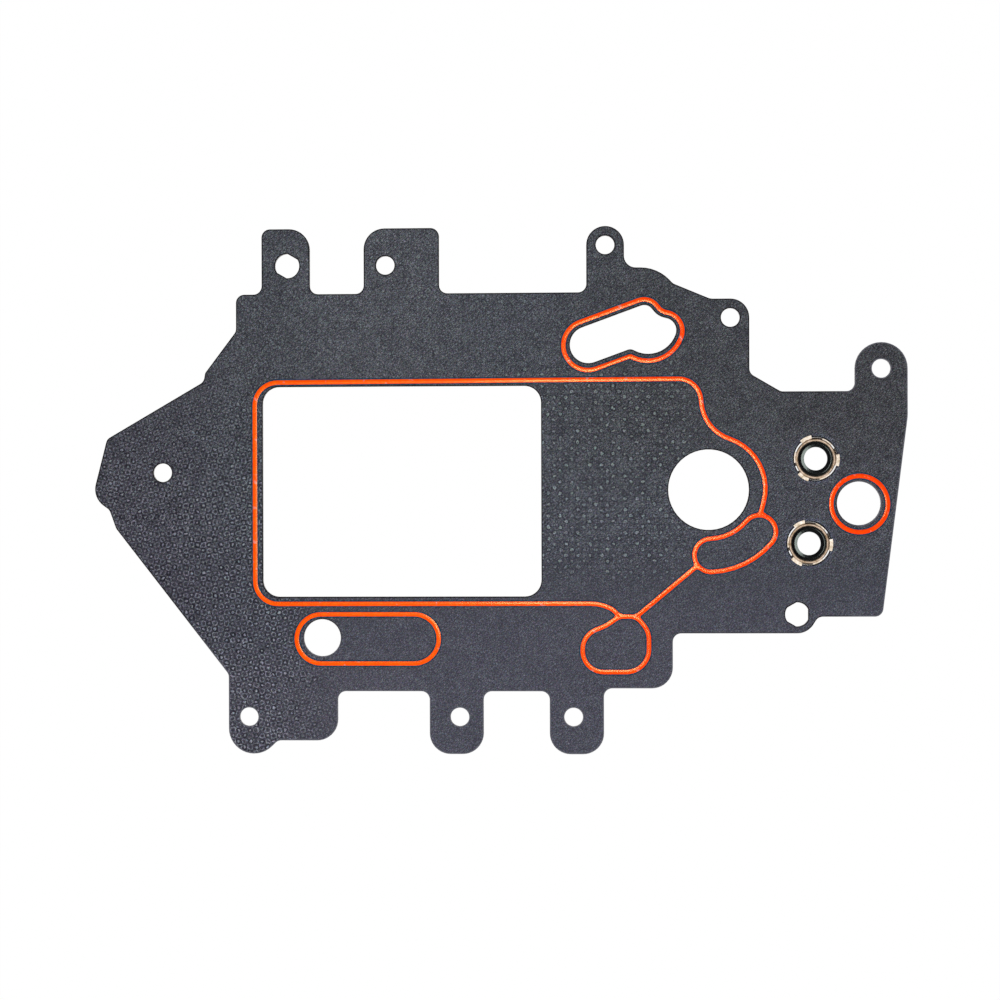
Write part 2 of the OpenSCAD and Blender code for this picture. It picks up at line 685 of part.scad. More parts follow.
module gasket_plate() {
    color("#46484d") difference() {
        linear_extrude(plate_t) polygon(outline_points(plate_outline));
        through() polygon(outline_points(port_path));
        through() polygon(outline_points(lobe_path));
        for (p = bolt_holes) translate(p) through() circle(d = bolt_d);
        for (p = [upper_seal, lower_seal]) translate(p) through() circle(d = seal_hole_d);
        translate(round_port) through() circle(d = round_port_d);
        translate(coolant_hole) through() circle(d = coolant_d);
        translate(drain_hole) through() circle(d = drain_d);
        through() flat_sided_hole(dowel_d, dowel_flats / 2, [dowel_turn, dowel_turn + 180]);
        translate(far_dowel) through() flat_sided_hole(far_dowel_d, far_dowel_flat, [0, 120, 240]);
    }
}

// Rubber ring, moulded on the inner edge of the steel ring
module seal_rubber() {
    ridge_mid = seal_bore_d / 2 + seal_ridge_w / 2;
    color("#17181a") rotate_extrude() union() {
        intersection() {
            translate([ridge_mid, plate_t / 2]) circle(r = plate_t / 2 + seal_proud, $fn = 20);
            translate([seal_bore_d / 2, -plate_t]) square([seal_ridge_w, 3 * plate_t]);
        }
        translate([ridge_mid, plate_t / 2 - sheet_t]) square([seal_bond_d / 2 - ridge_mid, 2 * sheet_t]);
    }
}

// Steel ring, half sunk in the plate, with lugs that step over each face in turn
module seal_retainer() {
    color("#c9bda6") union() {
        translate([0, 0, (plate_t - sheet_t) / 2]) linear_extrude(sheet_t) difference() {
            circle(d = retainer_d);
            circle(d = seal_bond_d);
        }
        for (k = [0 : 2]) rotate(lug_turn + 120 * k) lug();
        translate([0, 0, plate_t]) mirror([0, 0, 1])
            for (k = [0 : 2]) rotate(lug_turn + 60 + 120 * k) lug();
    }
}

// One lug: across the gap, up beside the plate's edge and out over its face
module lug() {
    upright = seal_hole_d / 2 - lug_clearance;
    root = (seal_bond_d + retainer_d) / 4;
    foot = (plate_t - sheet_t) / 2;
    rotate(-lug_angle / 2) rotate_extrude(angle = lug_angle) polygon([
        [root, foot], [upright, foot], [upright, plate_t], [lug_tip_d / 2, plate_t],
        [lug_tip_d / 2, plate_t + sheet_t], [upright - sheet_t, plate_t + sheet_t],
        [upright - sheet_t, foot + sheet_t], [root, foot + sheet_t]
    ]);
}

module upper_seal_retainer() translate(upper_seal) seal_retainer();
module upper_seal_rubber() translate(upper_seal) seal_rubber();
module lower_seal_retainer() translate(lower_seal) seal_retainer();
module lower_seal_rubber() translate(lower_seal) seal_rubber();

gasket_plate();
main_bead_top();
lobed_port_bead_top();
drain_bead_top();
coolant_bead_top();
main_bead_bottom();
lobed_port_bead_bottom();
drain_bead_bottom();
coolant_bead_bottom();
upper_seal_retainer();
upper_seal_rubber();
lower_seal_retainer();
lower_seal_rubber();
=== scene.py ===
import json
from math import atan2, radians

import bmesh
import bpy
from mathutils import Matrix, Vector

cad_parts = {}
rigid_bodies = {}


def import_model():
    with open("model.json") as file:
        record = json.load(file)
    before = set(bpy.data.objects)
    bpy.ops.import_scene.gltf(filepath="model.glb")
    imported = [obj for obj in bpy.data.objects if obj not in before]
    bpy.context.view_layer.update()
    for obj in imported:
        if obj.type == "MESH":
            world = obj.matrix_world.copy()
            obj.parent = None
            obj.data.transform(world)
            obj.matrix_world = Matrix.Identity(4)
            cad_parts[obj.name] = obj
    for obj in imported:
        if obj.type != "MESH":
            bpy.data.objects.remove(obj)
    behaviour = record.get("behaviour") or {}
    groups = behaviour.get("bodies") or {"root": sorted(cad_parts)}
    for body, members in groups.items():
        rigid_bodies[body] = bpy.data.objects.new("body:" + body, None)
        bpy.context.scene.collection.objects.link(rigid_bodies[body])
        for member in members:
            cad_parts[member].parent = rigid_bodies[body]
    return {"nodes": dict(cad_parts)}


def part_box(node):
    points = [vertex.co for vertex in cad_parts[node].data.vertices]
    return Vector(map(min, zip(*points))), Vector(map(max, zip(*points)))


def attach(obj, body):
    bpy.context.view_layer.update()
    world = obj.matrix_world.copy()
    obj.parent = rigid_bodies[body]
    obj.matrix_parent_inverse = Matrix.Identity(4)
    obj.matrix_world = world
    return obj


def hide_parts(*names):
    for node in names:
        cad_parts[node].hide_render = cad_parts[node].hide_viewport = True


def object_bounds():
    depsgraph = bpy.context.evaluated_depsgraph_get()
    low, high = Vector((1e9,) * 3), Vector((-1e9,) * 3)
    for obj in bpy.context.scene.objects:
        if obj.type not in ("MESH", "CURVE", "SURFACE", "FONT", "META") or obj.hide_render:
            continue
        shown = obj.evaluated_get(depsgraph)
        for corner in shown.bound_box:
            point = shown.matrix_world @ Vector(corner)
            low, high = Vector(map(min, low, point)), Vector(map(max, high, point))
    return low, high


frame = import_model()
nodes = frame["nodes"]
cad_box = [list(corner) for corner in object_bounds()]

# The camera hangs 0.9 m over the gasket, a little to the right of its middle, and
# leans back to it, which brings the right end of the plate nearer than the left.
camera = bpy.data.objects.new("camera", bpy.data.cameras.new("camera"))
camera.data.lens = 72
camera.data.sensor_width = 36
camera.location = (0.132297, -0.105944, 0.900273)
camera.rotation_euler = (-0.00011, 0.04044, -0.00301)
bpy.context.collection.objects.link(camera)
bpy.context.scene.camera = camera


# The plate is a die-cut sheet: a tanged steel core between two grey fibre facings,
# pressed flat and coated. The core's tangs are punched to each side in turn, so
# they show through as bosses and dimples. The cut wall shows the core's bright edge.
plate_t = 0.0015
facing_t = 0.00045
rim_width = 0.0005
rim_drop = 0.00008
tang_pitch_x = 0.0026474
tang_pitch_y = 0.0025375


def colour(text):
    """Linear colour of an sRGB hex value."""
    parts = [int(text[i:i + 2], 16) / 255 for i in (1, 3, 5)]
    linear = [p / 12.92 if p <= 0.04045 else ((p + 0.055) / 1.055) ** 2.4 for p in parts]
    return (*linear, 1.0)


def add(tree, kind, inputs=(), out=0, stops=(), **settings):
    """A new node with its settings, its inputs set or linked and its ramp's stops. Gives an output."""
    new = tree.nodes.new("ShaderNode" + kind)
    for name, value in settings.items():
        setattr(new, name, value)
    for key, value in (inputs.items() if isinstance(inputs, dict) else enumerate(inputs)):
        if isinstance(value, bpy.types.NodeSocket):
            tree.links.new(value, new.inputs[key])
        else:
            new.inputs[key].default_value = value
    if stops:
        band = new.color_ramp.elements
        band[0].position, band[1].position = stops[0][0], stops[-1][0]
        for position, _ in stops[1:-1]:
            band.new(position)
        for element, (_, shade) in zip(band, stops):
            element.color = colour(shade) if isinstance(shade, str) else (shade, shade, shade, 1)
    return new.outputs[out]


def new_material(name, **sockets):
    """A material with its surface shader, the plain values of its sockets set, and its place."""
    made = bpy.data.materials.new(name)
    made.use_nodes = True
    shader = made.node_tree.nodes["Principled BSDF"]
    for key, value in sockets.items():
        shader.inputs[key.replace("_", " ")].default_value = value
    place = add(made.node_tree, "TexCoord", out="Object")
    return made, made.node_tree, shader, place


def merged_copy(node):
    """A bmesh of a CAD node's mesh with its loose triangles joined."""
    shape = bmesh.new()
    shape.from_mesh(nodes[node].data)
    bmesh.ops.remove_doubles(shape, verts=shape.verts, dist=1e-6)
    return shape


def finished(name, shape, materials, node=None, sharp=35):
    """Makes a finished piece of a shape. It may stand in for a CAD node."""
    mesh = bpy.data.meshes.new(name)
    shape.to_mesh(mesh)
    shape.free()
    for face in mesh.polygons:
        face.use_smooth = True
    mesh.set_sharp_from_angle(angle=radians(sharp))
    for material in materials:
        mesh.materials.append(material)
    piece = bpy.data.objects.new(name, mesh)
    bpy.context.collection.objects.link(piece)
    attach(piece, "root")
    if node:
        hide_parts(node)


# Settings that many nodes share: a soft step, and a mix of two colours
soft = {"interpolation_type": "SMOOTHSTEP"}
mixed = {"data_type": "RGBA", "out": 2}
multiplied = {"blend_type": "MULTIPLY", **mixed}

# Coated fibre facing, calendered sheet: dull dark grey, with a fine grain that leans the way
# it was rolled. Real fibres are far finer than a pixel, so the grain is drawn as coarse as
# it needs to show. Every count of cells is to a metre.
roll_angle = radians(42)
grain_cells = 2700      # 0.37 mm, a tuft of fibres
streak_cells = 2200     # 0.45 mm across the roll, drawn out to 2.3 mm along it
blotch_cells = 150      # 6.7 mm, cloudy patches of the coating
fleck_cells = 1300      # 0.77 mm, single coloured fibres
grain_depth = 0.00006
facing, tree, shader, place = new_material(
    "fibre_facing_coated", Roughness=0.7, Specular_IOR_Level=0.08)
x = add(tree, "SeparateXYZ", [place], out="X")
y = x.node.outputs["Y"]

# Tang sites: a square grid, pressed a little out of line, whose cells are bosses and
# dimples in turn. Each look runs from the middle of a tang outwards, 0.5 is plain sheet.
# The looks are painted light and shade of the bumps: rings of painted highlight and shade.
sway_cells = 850        # 1.2 mm
sway_share = 0.6        # of a cell
grid_start = (0.5933, 0.65, 0.25)
cell_middle = (0.43, 0.43, 0.5)
sway = add(tree, "TexNoise", {"Vector": place, "Scale": sway_cells, "Detail": 1}, out="Color")
sway = add(tree, "VectorMath", [sway, (0.5, 0.5, 0.5)], operation="SUBTRACT")
grid = add(tree, "Mapping", {"Vector": place, "Location": grid_start,
           "Scale": (1 / tang_pitch_x, 1 / tang_pitch_y, 0)})
grid = add(tree, "VectorMath", [sway, (sway_share, sway_share, 0), grid], operation="MULTIPLY_ADD")
site = add(tree, "TexVoronoi", {"Vector": grid, "Scale": 1, "Randomness": 0.1},
           voronoi_dimensions="2D", out="Distance")
luck = add(tree, "SeparateColor", [site.node.outputs["Color"]], out="Red")
cell = add(tree, "VectorMath", [site.node.outputs["Position"], cell_middle])
dimple = add(tree, "TexChecker", {"Vector": cell, "Scale": 1}, out="Fac")
reach = add(tree, "Math", [luck.node.outputs["Blue"], 0.3, 0.85], operation="MULTIPLY_ADD")
reach = add(tree, "Math", [site, reach], operation="MULTIPLY")
boss_painted_shading = add(tree, "ValToRGB", [reach], stops=[
    (0, 0.88), (0.13, 0.80), (0.23, 0.5), (0.34, 0.14), (0.43, 0.18), (0.55, 0.47), (0.7, 0.48)])
dimple_painted_shading = add(tree, "ValToRGB", [reach], stops=[
    (0, 0.30), (0.14, 0.34), (0.3, 0.48), (0.39, 0.73), (0.46, 0.69), (0.54, 0.44), (0.7, 0.43)])
speck_painted_highlight = add(tree, "ValToRGB", [reach], stops=[
    (0, 0.5), (0.07, 0.62), (0.15, 1.0), (0.22, 0.72), (0.3, 0.38), (0.42, 0.38), (0.6, 0.48)])
ring_painted_shading = add(tree, "Mix", {"Factor": dimple, 2: boss_painted_shading, 3: dimple_painted_shading})

# Where the tangs show: as painted rings of light and shade towards the left end, as painted highlights
# on the bumps beside the port
left_end = add(tree, "MapRange", [x, 0.035, -0.015], **soft)
downward = add(tree, "MapRange", [y, -0.03, -0.125, 0.35, 1.15], **soft)
ring_zone = add(tree, "Math", [left_end, downward], operation="MULTIPLY")
speck_zone = add(tree, "MapRange", [x, 0.075, 0.115], **soft)
for limit in ([x, 0.195, 0.170], [y, -0.150, -0.128], [y, -0.042, -0.052]):
    inside = add(tree, "MapRange", limit, **soft)
    speck_zone = add(tree, "Math", [speck_zone, inside], operation="MULTIPLY")
faint = add(tree, "MapRange", [y, -0.055, -0.040, 0, 0.3], **soft)
speck_zone = add(tree, "Math", [speck_zone, faint], operation="MAXIMUM")
speck_zone = add(tree, "Math", [speck_zone, dimple], operation="MULTIPLY")

# Each tang's painted mark is stronger or weaker by chance, and broken into patches by noise
patch_cells = 1100       # 0.9 mm
patchy = add(tree, "TexNoise", {"Vector": place, "Scale": patch_cells, "Detail": 1})
marks = []
for look, draw, chance, patching, zone in (
        (ring_painted_shading, luck, (0.7, 0.46), (3.6, -0.8), ring_zone),
        (speck_painted_highlight, luck.node.outputs["Green"], (1.15, 0.2), (1.8, 0.1), speck_zone)):
    mark = add(tree, "Math", [look, 0.5], operation="SUBTRACT")
    chance = add(tree, "Math", [draw, *chance], operation="MULTIPLY_ADD")
    gaps = add(tree, "Math", [patchy, *patching], operation="MULTIPLY_ADD")
    for share in (chance, zone, gaps):
        mark = add(tree, "Math", [mark, share], operation="MULTIPLY")
    marks.append(mark)

# Tone of the facing: its grain, the streaks of rolling, wide soft blotches and the tangs'
# marks of painted light and shade. All but the marks are weaker towards the lower edge.
coarse = add(tree, "MapRange", [y, -0.145, -0.115, 1.35, 2.15], **soft)
streaky = add(tree, "Math", [coarse, 0.19], operation="MULTIPLY")
uneven = add(tree, "MapRange", [y, -0.145, -0.115, 0.11, 0.25], **soft)
along_roll = {"Vector": place, "Rotation": (0, 0, roll_angle)}
rolled = add(tree, "Mapping", {**along_roll, "Scale": (2.2, 0.7, 1)}, vector_type="TEXTURE")
drawn = add(tree, "Mapping", {**along_roll, "Scale": (5, 0.8, 1)}, vector_type="TEXTURE")
grain = add(tree, "TexNoise", {"Vector": rolled, "Scale": grain_cells, "Detail": 1.5, "Roughness": 0.8})
streak = add(tree, "TexNoise", {"Vector": drawn, "Scale": streak_cells, "Detail": 0})
blotch = add(tree, "TexNoise", {"Vector": place, "Scale": blotch_cells, "Detail": 3, "Roughness": 0.6})
tone = 0.5
for pattern, strength in ((grain, coarse), (streak, streaky), (blotch, uneven)):
    pattern = add(tree, "Math", [pattern, 0.5], operation="SUBTRACT")
    tone = add(tree, "Math", [pattern, strength, tone], operation="MULTIPLY_ADD")
for mark in marks:
    tone = add(tree, "Math", [tone, mark])
tint = add(tree, "ValToRGB", [tone], stops=[(0.0, "#202127"), (0.5, "#3a3b42"), (1.0, "#888e95")])

# The painted highlights on the bumps beside the port are a little greener than the coating
speck_highlight_share = add(tree, "Math", [marks[1], 2.5], operation="MULTIPLY", use_clamp=True)
tint = add(tree, "Mix", {"Factor": speck_highlight_share, 6: tint, 7: (0.97, 1.06, 0.96, 1)}, **multiplied)

# Flecks of bluish and brownish fibre
fleck = add(tree, "TexNoise", {"Vector": place, "Scale": fleck_cells, "Detail": 2, "Roughness": 0.6},
            out="Color")
fleck = add(tree, "VectorMath", [fleck, (0.98, 0.68, 0.98), (0.51, 0.66, 0.51)],
            operation="MULTIPLY_ADD")
tint = add(tree, "Mix", {"Factor": 1.0, 6: tint, 7: fleck}, **multiplied)

# Slow drifts of colour that paint the sheet's light and shade by region: from where to where along x or
# y, and the tint there
painted_light_drifts = [
    ((y, -0.06, -0.19), None, (1.05, 1.02, 1.08)),                  # bluer downwards
    ((x, -0.015, -0.06), None, (0.93, 0.88, 0.91)),                 # darker at the left end
    ((y, -0.080, -0.040), (x, 0.11, 0.05), (1.11, 1.09, 1.07)),     # paler by the upper tabs
    ((y, -0.10, -0.04), (x, 0.03, -0.01), (0.91, 0.92, 0.92)),      # darker at the upper left
    ((x, 0.210, 0.235), (y, -0.15, -0.12), (0.92, 0.90, 0.89)),     # darker at the right end
    ((y, -0.13, -0.17), (x, -0.04, 0.07), (1.11, 1.09, 1.11)),      # paler by the lower tabs
    ((y, -0.165, -0.19), (x, 0.08, 0.02), (1.14, 1.11, 1.10)),      # paler at the lower left
    ((x, 0.09, 0.17), (y, -0.12, -0.06), (0.88, 0.86, 0.83)),       # browner at the upper right
]
for first, second, shade in painted_light_drifts:
    share = add(tree, "MapRange", [*first], **soft)
    if second:
        other = add(tree, "MapRange", [*second], **soft)
        share = add(tree, "Math", [share, other], operation="MULTIPLY")
    tint = add(tree, "Mix", {"Factor": share, 6: tint, 7: (*shade, 1)}, **multiplied)

# A pale halo painted into the facing round each seal, fading out by 12.2 mm from its middle
halo_outer_r = 0.0122
halo_inner_r = 0.0104
seal_middles = []
for name in ("upper_seal_rubber", "lower_seal_rubber"):
    low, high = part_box(name)
    seal_middles.append(((low[0] + high[0]) / 2, (low[1] + high[1]) / 2, plate_t / 2))
far = [add(tree, "VectorMath", [place, seal], operation="DISTANCE", out="Value")
       for seal in seal_middles]
near = add(tree, "Math", far, operation="MINIMUM")
pale_halo = add(tree, "MapRange", [near, halo_outer_r, halo_inner_r], **soft)
tint = add(tree, "Mix", {"Factor": pale_halo, 6: tint, 7: (1.2, 1.25, 1.4, 1)}, **multiplied)
tree.links.new(tint, shader.inputs["Base Color"])
relief = add(tree, "Bump", {"Height": tone, "Strength": 0.25, "Distance": grain_depth}, out="Normal")
tree.links.new(relief, shader.inputs["Normal"])

# Rim of the facing, rolled down by the die: a dark line of painted shade round every edge,
# which is painted a lighter grey, as lit, on the lower tabs and at the right end
fuzz_cells = 1500       # 0.67 mm
rim, tree, shader, place = new_material("fibre_rim_rolled", Roughness=0.6, Specular_IOR_Level=0.2)
x = add(tree, "SeparateXYZ", [place], out="X")
fuzz = add(tree, "TexNoise", {"Vector": place, "Scale": fuzz_cells, "Detail": 2})
dark = add(tree, "ValToRGB", [fuzz], stops=[(0.3, "#0f0e11"), (0.7, "#242327")])
grey = add(tree, "ValToRGB", [fuzz], stops=[(0.3, "#4a4a52"), (0.7, "#66666e")])
lower_tabs = add(tree, "MapRange", [x.node.outputs["Y"], -0.155, -0.180], **soft)
right_end = add(tree, "MapRange", [x, 0.240, 0.262], **soft)
painted_light_share = add(tree, "Math", [lower_tabs, right_end], operation="MAXIMUM")
shade = add(tree, "Mix", {"Factor": painted_light_share, 6: dark, 7: grey}, **mixed)
tree.links.new(shade, shader.inputs["Base Color"])

# Fibre cut by the die on the wall: dull, hairy and paler than the coated face
cut_cells = 1800        # 0.56 mm
wall, tree, shader, place = new_material("fibre_cut", Roughness=0.85)
fuzz = add(tree, "TexNoise", {"Vector": place, "Scale": cut_cells, "Detail": 2})
shade = add(tree, "ValToRGB", [fuzz], stops=[(0.3, "#3a393d"), (0.7, "#5c5b60")])
tree.links.new(shade, shader.inputs["Base Color"])

# Sheared edge of the tinplate core: a bright line in the wall with fine upright score marks
score_cells = 2500      # 0.4 mm along the wall, ten times as tall
core, tree, shader, place = new_material("tinplate_sheared", Metallic=1.0, Roughness=0.5)
upright_marks = add(tree, "Mapping", {"Vector": place, "Scale": (1, 1, 0.1)})
score = add(tree, "TexNoise", {"Vector": upright_marks, "Scale": score_cells, "Detail": 1})
shade = add(tree, "ValToRGB", [score], stops=[(0.3, "#b9b3b0"), (0.7, "#f4eeea")])
tree.links.new(shade, shader.inputs["Base Color"])

# The die's cut is split into facing, core and facing, and both rims are rolled down
shape = merged_copy("gasket_plate")
bmesh.ops.dissolve_limit(shape, angle_limit=0.001, verts=shape.verts, edges=shape.edges)
for level in (facing_t, plate_t - facing_t):
    bmesh.ops.bisect_plane(shape, geom=[*shape.verts, *shape.edges, *shape.faces], dist=1e-7,
                           plane_co=(0, 0, level), plane_no=(0, 0, 1))
on_facing, on_rim, on_wall, on_core = range(4)
flat = []
for f in shape.faces:
    if abs(f.normal.z) > 0.9:
        f.material_index = on_facing
        flat.append(f)
    else:
        height = f.calc_center_median().z
        f.material_index = on_core if facing_t < height < plate_t - facing_t else on_wall
edge = {v for f in flat for v in f.verts}
strip = bmesh.ops.inset_region(shape, faces=flat, thickness=rim_width, depth=0, use_boundary=True,
                               use_even_offset=True)
for f in strip["faces"]:
    f.material_index = on_rim
for v in edge:
    if any(f.material_index in (on_wall, on_core) for f in v.link_faces):
        v.co.z += rim_drop if v.co.z < plate_t / 2 else -rim_drop
finished("plate", shape, [facing, rim, wall, core], "gasket_plate", sharp=10)


# The beads are silicone, screen printed on the facing and cured there. The crown
# is rounded and satin, so a soft light near by leaves a pale band along one side.
# A thin blue-green line beside each bead is painted shadow, where the bead shades the facing.
shadow_line_width = 0.00055
shadow_line_lift = 0.000008

# Cured silicone: a smooth satin orange, deeper to the right, with a few dusty spots
drift_cells = 450       # 2.2 mm
dust_cells = 380        # 2.6 mm
skin_depth = 0.00005
silicone, tree, shader, place = new_material(
    "printed_silicone", Roughness=0.32, Specular_IOR_Level=0.15, Specular_Tint=(1, 0.85, 0.22, 1))
x = add(tree, "SeparateXYZ", [place], out="X")
drift = add(tree, "TexNoise", {"Vector": place, "Scale": drift_cells, "Detail": 3})
warm = add(tree, "ValToRGB", [drift], stops=[(0.3, "#ff4a00"), (0.55, "#ff5400"), (0.75, "#ff5e00")])
deep = add(tree, "ValToRGB", [drift], stops=[(0.3, "#ff3800"), (0.55, "#ff4200"), (0.75, "#ff4c00")])
along = add(tree, "MapRange", [x, 0.06, 0.2], **soft)
shade = add(tree, "Mix", {"Factor": along, 6: warm, 7: deep}, **mixed)
dust = add(tree, "TexNoise", {"Vector": place, "Scale": dust_cells, "Detail": 2})
dust = add(tree, "MapRange", [dust, 0.66, 0.74, 0.0, 0.55])
shade = add(tree, "Mix", {"Factor": dust, 6: shade, 7: colour("#d39a94")}, **mixed)
tree.links.new(shade, shader.inputs["Base Color"])
skin = add(tree, "Bump", {"Height": drift, "Strength": 0.03, "Distance": skin_depth}, out="Normal")
tree.links.new(skin, shader.inputs["Normal"])

# Painted shadow beside the beads: the facing darker and blue-green
shadow_mottle_cells = 900        # 1.1 mm
painted_shadow, tree, shader, place = new_material("facing_oil_soaked", Roughness=0.7, Specular_IOR_Level=0.1)
shadow_mottle = add(tree, "TexNoise", {"Vector": place, "Scale": shadow_mottle_cells, "Detail": 2})
shade = add(tree, "ValToRGB", [shadow_mottle], stops=[(0.3, "#00283c"), (0.7, "#1c4c62")])
tree.links.new(shade, shader.inputs["Base Color"])

for node in nodes:
    if "bead" not in node:
        continue
    finished("silicone_" + node, merged_copy(node), [silicone], node)

    # The painted shadow's film is the outset of the bead's foot, with the foot itself left out
    on_top = node.endswith("top")
    level = plate_t if on_top else 0
    shape = merged_copy(node)
    raised = [f for f in shape.faces if any(abs(v.co.z - level) > 1e-6 for v in f.verts)]
    bmesh.ops.delete(shape, geom=raised, context="FACES")
    bmesh.ops.dissolve_limit(shape, angle_limit=0.001, verts=shape.verts, edges=shape.edges)
    foot = list(shape.faces)
    bmesh.ops.inset_region(shape, faces=foot, thickness=-shadow_line_width, use_boundary=True,
                           use_even_offset=True)
    bmesh.ops.delete(shape, geom=foot, context="FACES")
    film = bmesh.ops.extrude_face_region(shape, geom=shape.faces[:])["geom"]
    for v in film:
        if isinstance(v, bmesh.types.BMVert):
            v.co.z = level + (shadow_line_lift if on_top else -shadow_line_lift)
    bmesh.ops.recalc_face_normals(shape, faces=shape.faces)
    finished("oil_line_" + node, shape, [painted_shadow])


# Each passage seal is a pressed steel ring with a black rubber ring moulded on its
# inner edge. The ring lies in a hole of the plate and is held by six lugs, which
# step over the upper and the lower face in turn. It is rolled to a shallow arch.
ring_inner = 0.00775
ring_crown = 0.0084
ring_outer = 0.0091
ring_low = 0.000575
ring_high = 0.000925
arch = 0.0002
shoulder = 0.00025
shoulder_rise = 0.85 * arch
upright = 0.0096
sheet_t = 0.00035
lug_tip = 0.01065
lug_count = 6
first_lug = radians(-4)
steps = 120
lug_steps = 10
flange_outer = 0.0096
flange_drop = 0.0003
flange_runs = [(10, 6), (30, 10), (70, 3), (78, 2), (90, 10)]   # first step and number of steps
ring_shade_out_r = 0.0094
ring_shade_in_r = 0.0089
rubber_steps = 96
rubber_half = [(0.0052, 0.00105), (0.00645, 0.00184), (0.00662, 0.00189), (0.0068, 0.00188),
               (0.007, 0.00175), (0.0072, 0.0013), (0.0072, 0.0011), (0.00775, 0.0011)]
ring_under = [(ring_inner, ring_low), (ring_crown, ring_low + arch), (ring_outer, ring_low)]
ring_over = [(ring_outer, ring_high), (ring_crown + shoulder, ring_high + shoulder_rise),
             (ring_crown, ring_high + arch), (ring_crown - shoulder, ring_high + shoulder_rise),
             (ring_inner, ring_high)]

# Pressed tinplate: bright and warm, dented by the press, so its reflections break up.
# The dents' noise also mottles its colour from dark gold to pale, a painted reflection, and the ring
# inside the lugs is painted browner and darker, a painted dim reflection.
dent_and_glint_cells = 600        # 1.7 mm
dent_depth = 0.0001
steel, tree, shader, place = new_material("tinplate_pressed", Metallic=1.0, Roughness=0.28)
dent_and_glint_noise = add(tree, "TexNoise", {"Vector": place, "Scale": dent_and_glint_cells, "Detail": 3})
shade = add(tree, "ValToRGB", [dent_and_glint_noise], stops=[(0.3, "#a8977c"), (0.55, "#dccfbf"), (0.75, "#f3e8e0")])
far = [add(tree, "VectorMath", [place, seal], operation="DISTANCE", out="Value")
       for seal in seal_middles]
near = add(tree, "Math", far, operation="MINIMUM")
painted_ring_shade = add(tree, "MapRange", [near, ring_shade_out_r, ring_shade_in_r], **soft)
shade = add(tree, "Mix", {"Factor": painted_ring_shade, 6: shade, 7: (0.72, 0.62, 0.55, 1)}, **multiplied)
tree.links.new(shade, shader.inputs["Base Color"])
dents = add(tree, "Bump", {"Height": dent_and_glint_noise, "Strength": 0.8, "Distance": dent_depth}, out="Normal")
tree.links.new(dents, shader.inputs["Normal"])

# Moulded rubber: near black, with a soft sheen on its lip and a faint grey bloom
bloom_cells = 700       # 1.4 mm
rubber, tree, shader, place = new_material("rubber_moulded", Roughness=0.3, Specular_IOR_Level=0.35)
bloom = add(tree, "TexNoise", {"Vector": place, "Scale": bloom_cells, "Detail": 2})
shade = add(tree, "ValToRGB", [bloom], stops=[(0.35, "#070809"), (0.7, "#131416")])
tree.links.new(shade, shader.inputs["Base Color"])


def spun(section, axis, start, steps):
    """A closed ring: its section of radii and heights, turned about the passage's axis."""
    shape = bmesh.new()
    points = [shape.verts.new(axis + start @ Vector((r, 0, z))) for r, z in section]
    edges = [shape.edges.new(pair) for pair in zip(points, points[1:] + points[:1])]
    bmesh.ops.spin(shape, geom=points + edges, cent=axis, axis=(0, 0, 1), angle=radians(360),
                   steps=steps, use_merge=True)
    bmesh.ops.remove_doubles(shape, verts=shape.verts, dist=1e-7)
    bmesh.ops.recalc_face_normals(shape, faces=shape.faces)
    return shape


def drawn_out(shape, faces, axis, radius=None, level=None, drop=0):
    """Extrudes faces of the ring to a radius, to a level or lower down, and gives the end faces."""
    made = bmesh.ops.extrude_face_region(shape, geom=faces)["geom"]
    bmesh.ops.delete(shape, geom=faces, context="FACES")
    ends = [f for f in made if isinstance(f, bmesh.types.BMFace)]
    for v in {v for f in ends for v in f.verts}:
        if radius is not None:
            out = (v.co.xy - axis.xy).normalized() * radius
            v.co.x, v.co.y = axis.x + out.x, axis.y + out.y
        v.co.z = v.co.z - drop if level is None else level
    return ends


def at_radius(face, axis, radius):
    """Whether all corners of a face lie at a radius from the passage's axis."""
    return all(abs((v.co - axis).xy.length - radius) < 1e-5 for v in face.verts)


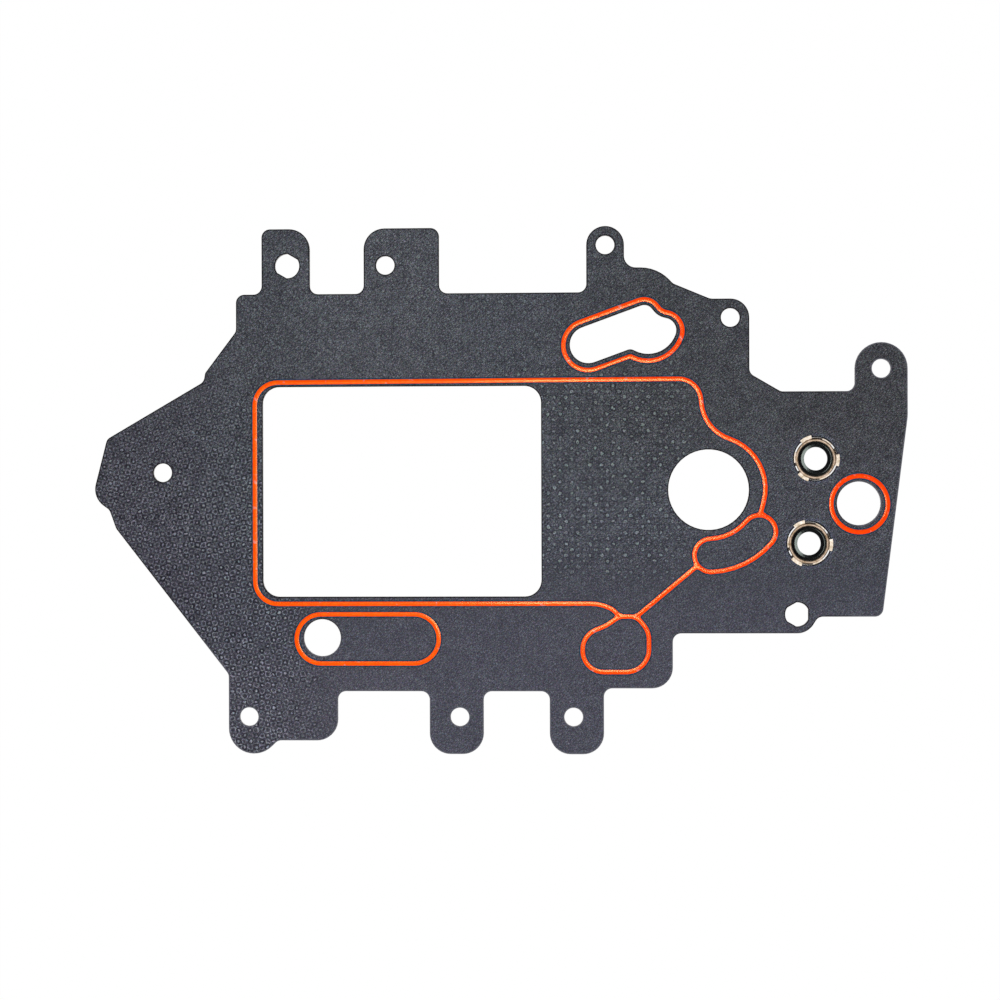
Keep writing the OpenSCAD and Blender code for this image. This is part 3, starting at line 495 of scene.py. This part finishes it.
for name, seal in zip(("upper_seal", "lower_seal"), seal_middles):
    axis = Vector((seal[0], seal[1], 0))
    start = Matrix.Rotation(first_lug - radians(180) * lug_steps / steps, 4, "Z")
    shape = spun(ring_under + ring_over, axis, start, steps)
    by_step = {}
    for f in shape.faces:
        if at_radius(f, axis, ring_outer):
            here = start.inverted() @ (f.calc_center_median() - axis)
            by_step[int(atan2(here.y, here.x) % radians(360) / radians(360 / steps))] = f

    # Each lug is drawn out to the hole, stands up or down at its wall, and folds over the face
    for k in range(lug_count):
        side = 1 if k % 2 == 0 else -1
        face_level = plate_t if side > 0 else 0
        root = [by_step[k * steps // lug_count + i] for i in range(lug_steps)]
        neck = drawn_out(shape, root, axis, upright - sheet_t)
        before = set(shape.faces)
        heel = drawn_out(shape, neck, axis, upright)
        skirt = [f for f in shape.faces if f not in before and f not in heel]
        for f in skirt:
            f.normal_update()
        stand = [f for f in skirt if f.normal.z * side > 0.9]
        stand = drawn_out(shape, stand, axis, level=face_level)
        before = set(shape.faces)
        cap = drawn_out(shape, stand, axis, level=face_level + side * sheet_t)
        skirt = [f for f in shape.faces if f not in before and f not in cap]
        drawn_out(shape, [f for f in skirt if at_radius(f, axis, upright)], axis, lug_tip)

    # Between the lugs, short bent-down flanges fill the gap to the hole in places
    for first, count in flange_runs:
        run = [by_step[first + i] for i in range(count)]
        drawn_out(shape, run, axis, flange_outer, drop=flange_drop)
    bmesh.ops.recalc_face_normals(shape, faces=shape.faces)
    finished("steel_" + name, shape, [steel], name + "_retainer", sharp=40)

    rubber_section = rubber_half + [(r, plate_t - z) for r, z in reversed(rubber_half)]
    shape = spun(rubber_section, axis, Matrix.Identity(4), rubber_steps)
    finished("rubber_" + name, shape, [rubber], name + "_rubber")


# The floor is a plain white sheet just under the lower beads. It glows for rays that
# look at it or mirror it, so it shows white, and takes a shadow with what is left.
floor_gap = 0.0001
floor_half = 3
glow_share = 0.993
floor_shape = bmesh.new()
bmesh.ops.create_grid(floor_shape, x_segments=1, y_segments=1, size=floor_half)
floor_mesh = bpy.data.meshes.new("floor")
floor_shape.to_mesh(floor_mesh)
floor_shape.free()
floor = bpy.data.objects.new("floor", floor_mesh)
floor.location = (0.095, -0.1, cad_box[0][2] - floor_gap)
bpy.context.collection.objects.link(floor)

# Matt white paper: even and bright, with a faint soft shadow under the plate
paper, tree, shader, place = new_material("white_paper", Base_Color=colour("#f4f4f4"), Roughness=0.9)
floor_mesh.materials.append(paper)
glow = add(tree, "Emission", [(1, 1, 1, 1), 1.0])
seen = add(tree, "LightPath", out="Is Camera Ray")
direct = add(tree, "Math", [seen, seen.node.outputs["Is Glossy Ray"]], operation="MAXIMUM")
direct = add(tree, "Math", [direct, seen.node.outputs["Is Transmission Ray"]], operation="MAXIMUM")
share = add(tree, "Math", [direct, glow_share], operation="MULTIPLY")
both = add(tree, "MixShader", [share, shader.outputs[0], glow])
tree.links.new(both, tree.nodes["Material Output"].inputs["Surface"])

# The room is evenly bright for the matt surfaces, dim in what the shiny ones mirror,
# and white behind the floor's far edge.
world = bpy.data.worlds.new("room")
world.use_nodes = True
bpy.context.scene.world = world
tree = world.node_tree
tree.nodes.remove(tree.nodes["Background"])
even = add(tree, "Background", [(0.97, 0.98, 1, 1), 0.82])
dim = add(tree, "Background", [(1, 0.98, 0.95, 1), 0.06])
white = add(tree, "Background", [(1, 1, 1, 1), 1.0])
seen = add(tree, "LightPath", out="Is Camera Ray")
room = add(tree, "MixShader", [seen.node.outputs["Is Glossy Ray"], even, dim])
room = add(tree, "MixShader", [seen, room, white])
tree.links.new(room, tree.nodes["World Output"].inputs["Surface"])


def lamp(name, width, depth, power, location, target, only_on=None, tone=(1, 1, 1)):
    """A soft lamp aimed at a point; a card is only mirrored, by pieces whose names start alike."""
    light = bpy.data.lights.new(name, "AREA")
    light.shape = "RECTANGLE"
    light.size, light.size_y = width, depth
    light.energy = power
    light.color = tone
    holder = bpy.data.objects.new(name, light)
    holder.location = location
    holder.rotation_euler = (Vector(target) - Vector(location)).to_track_quat("-Z", "Y").to_euler()
    holder.visible_camera = False
    bpy.context.collection.objects.link(holder)
    if only_on:
        holder.visible_diffuse = False
        chosen = bpy.data.collections.new(name + "_pieces")
        for piece in bpy.data.objects:
            if piece.name.startswith(only_on):
                chosen.objects.link(piece)
        holder.light_linking.receiver_collection = chosen
    else:
        holder.visible_glossy = False


# One large soft lamp in front. Two low cards over the middle give the beads the pale side
# that faces it. Two high cards light the steel, and one low on the right the rubber's lip.
lamp("large_lamp", 0.7, 0.7, 5, (0.05, -0.75, 0.9), (0.095, -0.1, 0))
lamp("sheen_card_right", 0.11, 0.12, 2.5, (0.145, -0.105, 0.09), (0.145, -0.105, 0),
     "silicone_", (0.55, 0.6, 1))
lamp("sheen_card_left", 0.10, 0.12, 0.24, (0.04, -0.105, 0.09), (0.04, -0.105, 0),
     "silicone_", (0.8, 0.85, 1))
lamp("overhead_card", 0.7, 0.7, 1.9, (0.30, -0.25, 0.90), (0.30, -0.25, 0), "steel_")
lamp("broad_card", 1.6, 1.6, 2.6, (0.486, -0.455, 0.80), (0.486, -0.455, 0), "steel_")
lamp("lip_card", 0.35, 0.12, 1.7, (0.40, -0.105, 0.12), (0.22, -0.105, 0), "rubber_", (0.86, 1, 0.92))

bpy.context.scene.view_settings.view_transform = "Standard"
